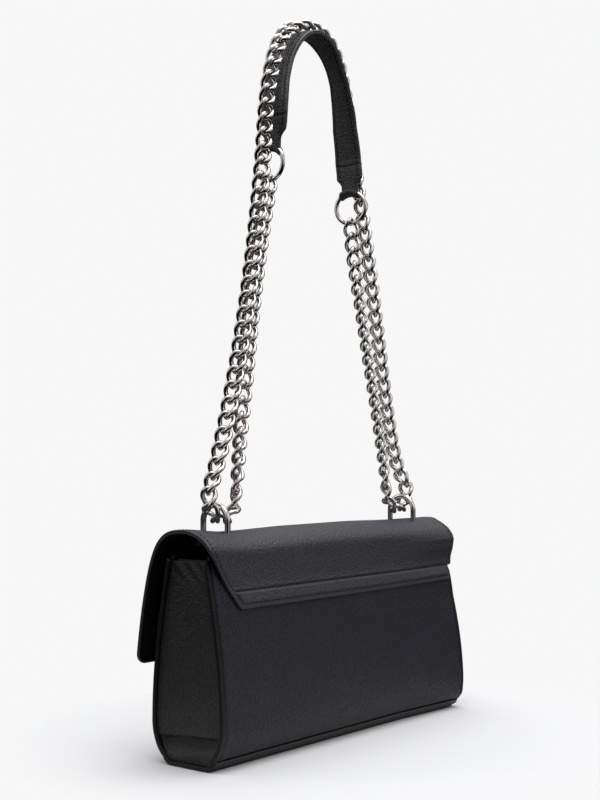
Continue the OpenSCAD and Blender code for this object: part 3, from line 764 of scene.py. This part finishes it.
def flap_profile():
    """The flap's outer face in (y, z) from the yoke's lower edge over the crest to its front edge."""
    z = np.linspace(YOKE_LOW, HINGE_Z, 60)
    peel = YOKE_LOW + (HINGE_Z - YOKE_LOW) * 0.45
    stand = half_depth(peel) + YOKE_T
    lean = 1 - np.cos(math.pi / 2 * np.clip((z - peel) / (HINGE_Z - peel), 0, 1))
    y = np.where(z < peel, half_depth(z) + YOKE_T, stand + (HINGE_Y - stand) * lean)
    back = [
        [HINGE_Y, HINGE_Z + 0.3], [HINGE_Y * 0.97, HINGE_Z + 6.0],
        [HINGE_Y * 0.4, CREST_H], [0, CREST_H],
    ]
    front = [
        [0, CREST_H], [-FLAP_REACH * 0.58, CREST_H],
        [-FLAP_REACH * 0.8, FLAP_LOW + (CREST_H - FLAP_LOW) * 0.95], [-FLAP_REACH, FLAP_LOW],
    ]
    t = np.linspace(0, 1, 60)
    line = np.concatenate([np.stack([y, z], 1)[:-1], bezier(back, t)[:-1], bezier(front, t)])
    run = running(line)
    s = np.linspace(0, run[-1], 600)
    line = follow(s, run, line)
    reach = 12
    soft = np.exp(-(np.arange(-reach, reach + 1) ** 2) / 50.0)
    soft /= soft.sum()
    before, after = 2 * line[:1] - line[reach:0:-1], 2 * line[-1:] - line[-2:-reach - 2:-1]
    padded = np.concatenate([before, line, after])
    return s, np.stack([np.convolve(column, soft, "valid") for column in padded.T], 1)


PROFILE_S, PROFILE = flap_profile()
PROFILE_WAY = unit(np.gradient(PROFILE, axis=0))
PROFILE_OUT = np.stack([PROFILE_WAY[:, 1], -PROFILE_WAY[:, 0]], 1)
PROFILE_END = PROFILE_S[-1]
HINGE_S = float(PROFILE_S[np.argmin(np.linalg.norm(PROFILE - [HINGE_Y, HINGE_Z], axis=1))])
CREST_S = float(PROFILE_S[np.argmax(PROFILE[:, 1])])
RIB_END = STRIP_H + RIB_H
FLAP_SEAM = 3.5


def slant(s):
    """How far the flap has slanted out to its full width at s, from 0 to 1."""
    return np.minimum(1.0, s / (HINGE_S + 1.5))


def flap_width(s):
    """Half the flap's width at s: it slants out from the yoke's lower edge to its round front corners."""
    width = YOKE_HALF + (FLAP_HALF - YOKE_HALF) * slant(s)
    left = PROFILE_END - s
    if left < FLAP_CORNER:
        return width - FLAP_CORNER + math.sqrt(max(0.0, FLAP_CORNER ** 2 - (FLAP_CORNER - left) ** 2))
    if s < 2.5:
        width -= 1.2 * (1 - s / 2.5) ** 2
    return width


def flap_half_thickness(s):
    return 1.1 + 0.4 * smooth_step(s, HINGE_S - 8, HINGE_S + 6)


def flap_relief(x, s):
    """The raised rib along the yoke, its stitch grooves, the groove along the edges, and slow swells."""
    inset = flap_width(s[0]) - np.abs(x)
    rib = 1.5 * smooth_step(s, STRIP_H - 0.3, STRIP_H + 0.9)
    rib = rib * (1 - smooth_step(s, RIB_END - 1.0, RIB_END + 0.3))
    grooves = 0.5 * bump_at(s, STRIP_H - 0.5, 0.7) + 0.6 * bump_at(s, RIB_END + 0.8, 0.9)
    edge = 0.35 * bump_at(inset, FLAP_SEAM, 0.9) * smooth_step(s, RIB_END, RIB_END + 2)
    swell = 0.45 * np.sin(x / 31 + 0.8) * np.sin(s / 24 + 0.4) * smooth_step(s, 20, 60)
    return (rib - grooves) * smooth_step(inset, 3.5, 5.0) - edge + swell * smooth_step(inset, 0, 20)


def flap_point(x, s, depth):
    """A point of the flap at x, s along its profile and depth below its outer face."""
    y, z = follow(s, PROFILE_S, PROFILE).T
    out_y, out_z = follow(s, PROFILE_S, PROFILE_OUT).T
    left = YOKE_LEFT + (FLAP_HALF - YOKE_LEFT) * slant(s)
    left -= (YOKE_LEFT - RIB_LEFT) * (1 - smooth_step(s, RIB_END - 0.5, RIB_END + 1.2))
    wider = left / (YOKE_HALF + (FLAP_HALF - YOKE_HALF) * slant(s))
    x = np.where(x < 0, x * wider, x)
    lift = 0.6 - 1.1 * smooth_step(np.abs(x), 30, 90) + 3.0 * smooth_step(x, 95, FLAP_HALF)
    y = y - nip(x, z) * smooth_step(y, 0, 12)
    y = y - 1.2 * smooth_step(s, CREST_S + 30, PROFILE_END) * smooth_step(x, 70, FLAP_HALF)
    z = z + lift * bump_at(s, CREST_S, 58)
    return np.stack([x, y - out_y * depth, z - out_z * depth], 1)


def flap_normals(s):
    """The flap's outward normals at s along its profile."""
    return np.insert(follow(s, PROFILE_S, PROFILE_OUT), X, 0, axis=1)


def flap_blend(piece):
    """Bakes the piece's placement into its mesh."""
    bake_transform(piece)


def lies_under(face):
    """Whether a face belongs to the flap's lower side."""
    y, z = face.center.y / MM, face.center.z / MM
    near = np.argmin((PROFILE[:, 0] - y) ** 2 + (PROFILE[:, 1] - z) ** 2)
    return face.normal.y * PROFILE_OUT[near, 0] + face.normal.z * PROFILE_OUT[near, 1] < -0.4


def ends_yoke(face):
    """Whether a face belongs to the yoke's lower edge."""
    return face.normal.z < -0.75 and face.center.z < (YOKE_LOW + 2) * MM


def make_flap():
    """The flap and its yoke: one sheet of two layers with a lighter rim of edge paint and painted highlight,
    a near-black underside of lining and painted shade, and its stitches.
    """
    def place(x, s, off):
        half = flap_half_thickness(s)
        relief = np.where(off > 0, flap_relief(x, s) * np.clip(off / half, 0, 1), 0)
        return flap_point(x, s, half - off - relief)

    fold_from, fold_to, edge_from = HINGE_S - 6, CREST_S + 6, PROFILE_END - 12
    stations = stations_of(
        (0, 14, 0.45), (14, fold_from, 1.5), (fold_from, fold_to, 0.9),
        (fold_to, edge_from, 1.8), (edge_from, PROFILE_END, 0.7),
    )
    rows = rounded_rows(np.append(stations, PROFILE_END), flap_width, flap_half_thickness)
    sheet = slab("flap_sheet", rows, place, "flap", step=2.2, layered=True)
    # The flap's lower side is its lining, painted near black as painted shade.
    paint(sheet, "shaded_lining", lies_under)
    # The flap's ends and the yoke's lower edge take the lighter rim colour: edge paint and painted highlight.
    paint(sheet, "rim", lambda face: abs(face.normal.x) > 0.6)
    paint(sheet, "rim", ends_yoke)
    flap_blend(sheet)
    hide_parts("flap_leather", "flap_lining", "yoke", "yoke_band")

    upper = RIB_END + 0.8
    down = np.linspace(upper, edge_from, 140)
    half = np.array([flap_width(s) for s in down]) - FLAP_SEAM
    lines = [(way * half, down, 0.12) for way in (-1, 1)]
    for s, reach, depth in (
        (upper, flap_width(upper) - FLAP_SEAM, 0.16),
        (STRIP_H - 0.1, flap_width(STRIP_H) - 4, 0.05),
        (PROFILE_END - 3.6, FLAP_HALF - 13, 0.12),
    ):
        lines.append((np.linspace(-reach, reach, 120), np.full(120, s), depth))
    rows = [(flap_point(x, s, depth), flap_normals(s)) for x, s, depth in lines]
    thread = stitches("flap_stitches", rows)
    flap_blend(thread)


def make_loops():
    """The two upright loops of round wire."""
    bend_z = CROWN_Z - LOOP_R
    legs = np.linspace(LOOP_FOOT, bend_z, 12)[:-1]
    turn = np.linspace(0, math.pi, 40)
    straight = np.full(len(legs), LOOP_R)
    y = LOOP_Y + np.concatenate([straight, LOOP_R * np.cos(turn), -straight])
    z = np.concatenate([legs, bend_z + LOOP_R * np.sin(turn), legs[::-1]])
    for end, tag in SIDES:
        path = np.stack([np.full(len(y), end * LOOP_X), y, z], 1)
        loop = sweep(f"loop_wire_{tag}", path, (1, 0, 0), circle(LOOP_WIRE / 2, 24), "metal")
        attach(loop, "flap")
        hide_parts(f"strap_loop_{tag}")


# Chain


# Bearings in degrees: where the chain meets its loop, where each strand leaves it, and of the turn's middle
CONTACT, LEAN, INNER_LEAN, BEARING = 318.0, 31.6, 10.0, 330.0
# How far each strand sways across, at places up its path, for each side
OUTER_SWAY = {-1: (-1.1, 0.7, -0.65, -1.05), 1: (0.0, 0.13, 0.16, 0.1)}
INNER_SWAY = {-1: (0.15, -0.6), 1: (-0.4, -0.7)}
# Each strand's twist in degrees, at shares of its length, for each side
OUTER_ROLL = {
    -1: ((0, 0), (0.05, -4), (0.2, -10), (0.75, -10), (0.9, 0), (1, 0)),
    1: ((0, 0), (0.03, 0), (0.12, 15), (0.5, 28), (0.64, 70), (0.84, 70), (1, 0)),
}
INNER_ROLL = {
    -1: ((0, 0), (0.048, -20), (0.15, -62), (0.2, -72), (0.76, -78), (1, -128)),
    1: ((0, 0), (0.044, -20), (0.14, -62), (0.18, -74), (0.27, -80), (0.4, -112), (0.5, -134), (1, -134)),
}
LINK_CORNERS = 12


def on_circle(a):
    a = np.radians(a)
    return np.stack([np.cos(a), 0 * a, np.sin(a)], -1)


TURN_MID = np.array([LOOP_X, 0, CROWN_Z]) - (TURN_R - TURN_BEARING) * on_circle(BEARING)


def swayed(point, share):
    return point + [0, STRAND_OUT * share, 0]


def along(points, run, s):
    """The point at length s of a path, carried straight on past its end."""
    if s > run[-1]:
        return points[-1] + unit(points[-1] - points[-2]) * (s - run[-1])
    return follow(s, run, points)


def outer_path(side):
    """Half the outer strand's line: round its loop, up past the ring and over to the pad's middle."""
    arc = TURN_MID + TURN_R * on_circle(np.linspace(CONTACT, 360 + LEAN, 25)[:-1])
    start = TURN_MID + TURN_R * on_circle(LEAN)
    sway = OUTER_SWAY[side]
    waist = np.array([RING_X + STRAND_OUT, 0, RING_Z[1] + RING_R + RING_WIRE])
    climb, left = waist[2] - (CROWN_Z - LOOP_R), STRAP_TOP - waist[2]
    lift = (STRAP_TOP - CREST_H) * 0.0374 * on_circle(LEAN + 90)
    low = [
        start, swayed(start + lift, sway[0]),
        swayed(waist + climb * np.array([0.0476, 0, -0.4872]), sway[1]), swayed(waist, sway[2]),
    ]
    high = [
        swayed(waist, sway[2]), swayed(waist + left * np.array([-0.0596, 0, 0.6106]), sway[3]),
        [RING_X * 0.7727, -PAD_SHIFT, STRAP_TOP], [0, -PAD_SHIFT, STRAP_TOP],
    ]
    t = np.linspace(0, 1, 61)
    return np.concatenate([arc, bezier(low, t)[:-1], bezier(high, t)])


def inner_path(side):
    """An inner strand's line, from its loop up to its ring."""
    arc = TURN_MID + TURN_R * on_circle(np.linspace(CONTACT, 180 + INNER_LEAN, 25)[:-1])
    start = TURN_MID + TURN_R * on_circle(180 + INNER_LEAN)
    sway = INNER_SWAY[side]
    ring = np.array([RING_X, -PAD_SHIFT, RING_Z[side] - RING_R])
    climb = ring[2] - start[2]
    high = np.array([ring[0], 0, ring[2]]) + climb * np.array([0.06, 0, -0.3])
    low = start + climb * 0.28 * on_circle(INNER_LEAN + 90)
    curve = [start, swayed(low, sway[0]), swayed(high, sway[1]), ring]
    return np.concatenate([arc, bezier(curve, np.linspace(0, 1, 61))])


def outer_joints(side):
    """Where one side's outer links meet, with their pitch and the number of links in both halves."""
    path = outer_path(side)
    run = running(path)
    count = round(2 * running(outer_path(1))[-1] / LINK_PITCH)
    pitch = 2 * run[-1] / count
    return [along(path, run, pitch * (j + 0.5)) for j in range(math.ceil(count / 2))], pitch, count


def inner_joints(side, pitch):
    """Where one side's inner links meet, up to the ring's wire that the last one hangs on."""
    path = inner_path(side)
    run = running(path)
    end_reach = LINK_HALF_L - (LINK_WIRE + RING_WIRE) / 2 - RING_PLAY
    total = run[-1] - end_reach - pitch / 2
    count = round(total / LINK_PITCH + 0.5)
    step = total / (count - 0.5)
    return [along(path, run, pitch / 2 + j * step) for j in range(count + 1)]


def arc_points(p, t, q, count):
    """Points of the arc that leaves p along t and ends at q."""
    c = q - p
    side = c - (c @ t) * t
    r = (c @ c) / (2 * np.linalg.norm(side))
    a = 2 * math.asin(np.linalg.norm(c) / (2 * r)) * np.linspace(0, 1, count + 1)[:, None]
    return p + unit(side) * r * (1 - np.cos(a)) + t * r * np.sin(a)


def link_line():
    """The closed line of one curb link: two arcs a quarter, turned so that the chain lies flat."""
    steps = 8
    tip_turn, flank_turn = math.radians(50), math.radians(40)
    tip, flank = np.array([LINK_HALF_L, 0, 0]), np.array([0, LINK_HALF_W, 0])
    tip_way = np.array([0, math.cos(tip_turn), math.sin(tip_turn)])
    flank_way = np.array([-math.cos(flank_turn), 0, -math.sin(flank_turn)])
    v = flank - tip
    q = 2 * (1 - tip_way @ flank_way)
    s = v @ (tip_way + flank_way)
    d = (-s + math.sqrt(s * s + q * (v @ v))) / q
    knee = (tip + flank + d * (tip_way - flank_way)) / 2
    first = arc_points(tip, tip_way, knee, steps)
    second = arc_points(flank, -flank_way, knee, steps)[::-1]
    quarter = np.concatenate([first, second[1:]])
    back = quarter[::-1]
    left, under, right = back[1:] * [-1, 1, -1], quarter[1:] * [-1, -1, 1], back[1:-1] * [1, -1, -1]
    return np.concatenate([quarter, left, under, right])


def link_mesh(wire):
    """Points and faces of one link of round wire."""
    line = link_line()
    way = unit(np.roll(line, -1, 0) - np.roll(line, 1, 0))
    out = unit(line * [0.4, 1, 1])
    out = unit(out - (out * way).sum(1, keepdims=True) * way)
    points = carried(line, out, np.cross(way, out), circle(wire / 2, LINK_CORNERS))
    return points, loop_faces(len(line), LINK_CORNERS, closed=True)


def chain_mesh(name, pairs, slim_last=False):
    """One mesh of links, each put between two joints and rolled about its length. A last link that hangs
    in a ring can be of slimmer wire."""
    thick, faces = link_mesh(LINK_SHOWN)
    slim = link_mesh(LINK_WIRE)[0]
    points, all_faces = [], []
    for k, (a, b, roll) in enumerate(pairs):
        shape = slim if slim_last and k == len(pairs) - 1 else thick
        cos, sin = math.cos(math.radians(roll)), math.sin(math.radians(roll))
        ahead = unit(b - a)
        level = unit([0, 1, 0] - ahead[1] * ahead)
        up = np.cross(ahead, level)
        placed = shape[:, :1] * ahead + shape[:, 1:2] * (level * cos + up * sin)
        placed = placed + shape[:, 2:] * (up * cos - level * sin)
        points.append(placed + (a + b) / 2 + [0, LOOP_Y, 0])
        all_faces += shifted(faces, k * len(shape))
    return add_mesh(name, np.concatenate(points), all_faces, "metal")


def strand_pairs(joints, rolls):
    """Each link's two joints and its roll."""
    last = len(joints) - 2
    return [(joints[j], joints[j + 1], drawn(j / last, rolls)) for j in range(last + 1)]


def make_chain():
    """Both halves of the outer and of the inner strand. The first link of each side joins the two."""
    tops = {}
    for side, tag in SIDES:
        flip = np.array([side, 1.0, 1.0])
        outer, pitch, count = outer_joints(side)
        outer = [p * flip for p in outer]
        inner = [p * flip for p in inner_joints(side, pitch)]
        tops[side] = outer[-1]
        pairs = [(inner[0], outer[0], 0)] + strand_pairs(outer, OUTER_ROLL[side])
        if side > 0 and count % 2 == 0:
            pairs.append((outer[-1], tops[-1], 0))
        strand = chain_mesh(f"outer_links_{tag}", pairs)
        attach(strand, "strap")
        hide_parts(f"chain_outer_{tag}")
        strand = chain_mesh(f"inner_links_{tag}", strand_pairs(inner, INNER_ROLL[side]), slim_last=True)
        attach(strand, "strap")
        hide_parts(f"chain_inner_{tag}")


# Rings and shoulder pad


# How far, in radians, each ring has turned about the vertical
RING_TURN = {-1: math.radians(12), 1: 0.0}
# The strip's twist in degrees, at lengths from its left end
PAD_TWIST = (
    (0, 2), (24, 2), (46, -4), (56, -8), (64, -14), (72, -18), (88, -23), (96, -21), (104, -15), (112, -10),
    (124, -5), (150, 0),
)
# How far the strip lies across from its middle line, at lengths from each of its ends
PAD_DRIFT = {
    -1: ((0, -0.5), (14, -1), (22, -2), (46, -2), (54, -1), (70, 0), (78, 1), (102, 1), (118, 0)),
    1: ((0, 2.2), (9, 3.0), (14, 3.8), (22, 4.5), (30, 4.1), (38, 3.1), (46, 1.8), (54, 1.1), (64, 0)),
}
PAD_SEAM, TAB_SEAM = 2.9, TAB_NECK + TAB_GRIP - 2


def make_rings():
    """The two round rings that the pad hangs on."""
    turn = np.linspace(0, 2 * math.pi, 73)[:-1]
    up = np.array([0, 0, 1.0])
    for side, tag in SIDES:
        way = np.array([-math.sin(RING_TURN[side]), math.cos(RING_TURN[side]), 0])
        middle = np.array([side * RING_X, PAD_Y, RING_Z[side]])
        path = middle + RING_R * (np.cos(turn)[:, None] * way + np.sin(turn)[:, None] * up)
        section = circle(RING_WIRE / 2, 18)
        ring = sweep(f"pad_ring_{tag}", path, np.cross(way, up), section, "metal", closed=True)
        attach(ring, "shoulder_pad")
        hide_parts(f"ring_{tag}")


def pad_half_line(ring_z):
    """The pad's middle line on one side as (x, z), from the ring's wire up to the top."""
    wire = ring_z + RING_R
    end = wire + TAB_NECK + TAB_GRIP
    curve = [[RING_X, end], [RING_X, end + (PAD_TOP - end) * 0.15], [RING_X * 0.7, PAD_TOP], [0, PAD_TOP]]
    straight = np.stack([np.full(24, RING_X), np.linspace(wire, end, 25)[:-1]], 1)
    return np.concatenate([straight, bezier(curve, np.linspace(0, 1, 60))])


def pad_path():
    """The whole strip's middle line from the left ring's wire to the right one's, with its normals."""
    left = pad_half_line(RING_Z[-1]) * [-1, 1]
    right = pad_half_line(RING_Z[1])[::-1]
    line = np.concatenate([left, right[1:]])
    run = running(line)
    s = np.arange(0, run[-1], 1.0)
    line = follow(s, run, line)
    way = unit(np.gradient(line, axis=0))
    return s, line, np.stack([-way[:, 1], way[:, 0]], 1)


PAD_S, PAD_LINE, PAD_OUT = pad_path()
PAD_LENGTH = PAD_S[-1]


def near_ring(s):
    """The length of strip from s to the nearer ring."""
    return np.minimum(s, PAD_LENGTH - s)


def wire_drop(y):
    """How far a ring's wire lies below its top at y from the middle."""
    return RING_R - np.sqrt(RING_R ** 2 - np.clip(np.abs(y), 0, 9) ** 2)


def pad_width(s):
    """Half the strip's width at s: it narrows to a tab at each ring."""
    taper = smooth_step(near_ring(s), TAB_NECK - 4.5, TAB_NECK + 0.8)
    return (TAB_W + (PAD_W - TAB_W) * taper) / 2


def pad_point(x, s, off):
    """A point of the strip at x, s along its middle line and off outwards from its middle layer."""
    mid_x, mid_z = follow(s, PAD_S, PAD_LINE).T
    out_x, out_z = follow(s, PAD_S, PAD_OUT).T
    twist = np.radians(drawn(s, PAD_TWIST))
    away = off * np.cos(twist) + x * np.sin(twist)
    drift = drawn(s, PAD_DRIFT[-1]) + drawn(PAD_LENGTH - s, PAD_DRIFT[1])
    across = x * np.cos(twist) - off * np.sin(twist) + drift
    sink = wire_drop(across) * (1 - smooth_step(near_ring(s), 0, 8))
    return np.stack([mid_x + out_x * away, PAD_Y + across, mid_z + out_z * away - sink], 1)


def pad_normals(s):
    """The strip's outward normals at s along its middle line."""
    return np.insert(follow(s, PAD_S, PAD_OUT), Y, 0, axis=1)


def pad_relief(x, s):
    """The strip's padded crown, less the stitch grooves along its edges and across its ends."""
    near, edge = near_ring(s), pad_width(s) - np.abs(x)
    crown = 0.55 * smooth_step(edge, 2.5, 7.0) * smooth_step(near, TAB_NECK + 14, TAB_NECK + 26)
    groove = 0.45 * bump_at(edge, PAD_SEAM, 0.9) * smooth_step(near, 5, 8)
    return crown - groove - 0.7 * bump_at(near, TAB_SEAM, 1.0)


def make_pad():
    """The padded strip: its face and its backing, with a tab at each end."""
    def place(x, s, off):
        share = 1 - 0.18 * (1 - smooth_step(near_ring(s), TAB_NECK - 2, TAB_NECK + 6))
        lift = np.sign(off) * pad_relief(x, s) * (np.abs(off) > 1.2)
        return pad_point(x, s, off * share + lift)

    end = 34
    stations = stations_of((0.0, end, 0.8), (end, PAD_LENGTH - end, 1.6), (PAD_LENGTH - end, PAD_LENGTH, 0.8))
    rows = [(s, pad_width(s), PAD_LAYER) for s in stations]
    strip = slab("pad_strip", rows, place, "pad", step=1.6, layered=True)
    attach(strip, "shoulder_pad")
    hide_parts("pad_face", "pad_backing")
    # The pad's rounded rim takes the lighter rim colour: edge paint and painted highlight.
    paint(strip, "rim", lambda face: abs(face.normal.y) > 0.75)


def make_pad_stitches():
    """The rows of stitches along the strip's edges and across its ends, on both faces."""
    rows = []
    s = np.arange(6.0, PAD_LENGTH - 6.0, 1.0)
    half = pad_width(s) - PAD_SEAM
    across = np.linspace(-7.8, 7.8, 20)
    lines = [(side * half, s) for side in (-1, 1)]
    lines += [(across, np.full(len(across), end)) for end in (TAB_SEAM, PAD_LENGTH - TAB_SEAM)]
    for face in (1, -1):
        for x, places in lines:
            rows.append((pad_point(x, places, face * (PAD_LAYER - 0.1)), face * pad_normals(places)))
    thread = stitches("pad_stitches", rows)
    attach(thread, "shoulder_pad")


def make_tab_folds():
    """Each tab's turn round the wire of its ring."""
    a = np.linspace(math.radians(150), math.radians(390), 30)
    turn = np.stack([np.cos(a), np.sin(a)], 1)
    layer, gap = 1.9, 0.2
    mid_r = RING_WIRE / 2 + gap + layer / 2
    y_all = np.concatenate([[-6.6, -6.3], np.linspace(-5.8, 5.8, 12), [6.3, 6.6]])
    shares = np.concatenate([[0.80, 0.95], np.ones(12), [0.95, 0.80]])
    for end, tag in SIDES:
        sin, cos = math.sin(RING_TURN[end]), math.cos(RING_TURN[end])
        drift = PAD_DRIFT[end][0][1]
        loops = []
        for y, share in zip(y_all + drift, shares):
            half = share * layer / 2
            section = np.concatenate([(mid_r + half) * turn, (mid_r - half) * turn[::-1]])
            section += [end * RING_X - y * sin, RING_Z[end] + RING_R - wire_drop(y)]
            loops.append(np.insert(section, Y, PAD_Y + y * cos, axis=1))
        fold = loft(f"tab_fold_{tag}", loops, "pad")
        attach(fold, "shoulder_pad")
        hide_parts(f"pad_tab_{tag}")


# Build


def dress_cad_nodes(nodes):
    """The CAD pieces that stay in view get their finish."""
    looks = {
        "base_board": "board", "magnet_socket": "metal", "magnet_stud": "metal",
        # The loop plates under the flap are kept near black as painted shade.
        "loop_plate_left": "dark_metal", "loop_plate_right": "dark_metal",
    }
    for node, material in looks.items():
        slots = nodes[node].data.materials
        slots.clear()
        slots.append(MATERIALS[material])


bpy.context.scene.view_settings.view_transform = "Standard"
make_camera()
make_world()
make_floor()
make_lights()
MATERIALS = make_materials()
dress_cad_nodes(frame["nodes"])
make_panels()
make_bindings()
make_gussets()
make_base()
make_lining()
make_flap()
make_loops()
make_chain()
make_rings()
make_pad()
make_pad_stitches()
make_tab_folds()
